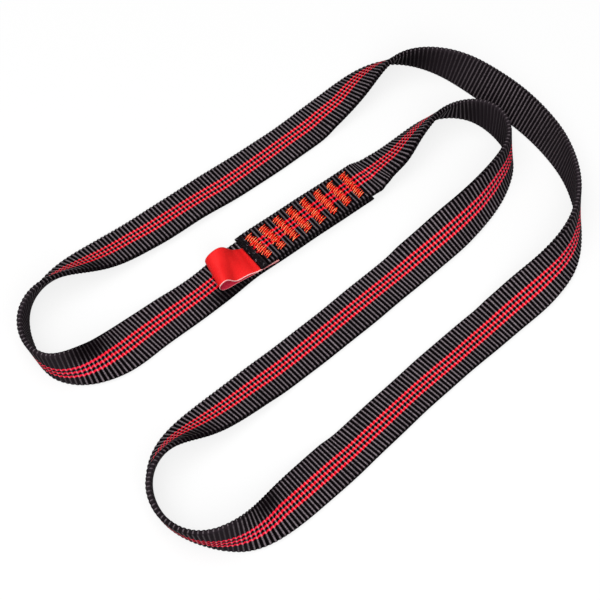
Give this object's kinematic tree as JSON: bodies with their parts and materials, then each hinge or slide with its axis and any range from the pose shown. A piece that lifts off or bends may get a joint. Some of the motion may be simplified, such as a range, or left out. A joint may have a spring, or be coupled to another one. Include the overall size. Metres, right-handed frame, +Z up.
{
  "type": "climbing sling",
  "caption": "Sewn loop of flat ribbed webbing with a striped face; bar tacks hold its lapped splice, which carries a folded cloth label. Laid on a floor in folded bights.",
  "frame": {"origin": "middle of the bounding box's underside, on the floor that the sling lies on", "axes": "+X along the splice, from its mouth with the label towards its far end; +Y across the arms, from the free middle arm towards the splice; +Z up"},
  "size_m": [0.2634, 0.1712, 0.02],
  "materials": {
    "webbing": "black woven nylon with crosswise ribs",
    "stitching": "glossy orange-red sewing thread",
    "label": "smooth satin red tape"
  },
  "bodies": {
    "sling": {"webbing": "webbing", "bar_tack_1": "stitching", "bar_tack_2": "stitching", "bar_tack_3": "stitching", "bar_tack_4": "stitching", "bar_tack_5": "stitching", "bar_tack_6": "stitching", "bar_tack_7": "stitching", "bar_tack_8": "stitching", "label_tails": "label"},
    "label": {"label_loop": "label"}
  },
  "joints": [
    {"name": "label_lift", "type": "hinge", "parent": "sling", "child": "label", "pos_m": [-0.0229, 0.0293, 0.0038], "axis": [0.0958, 0.9954, 0], "range_deg": [0, 65]}
  ]
}
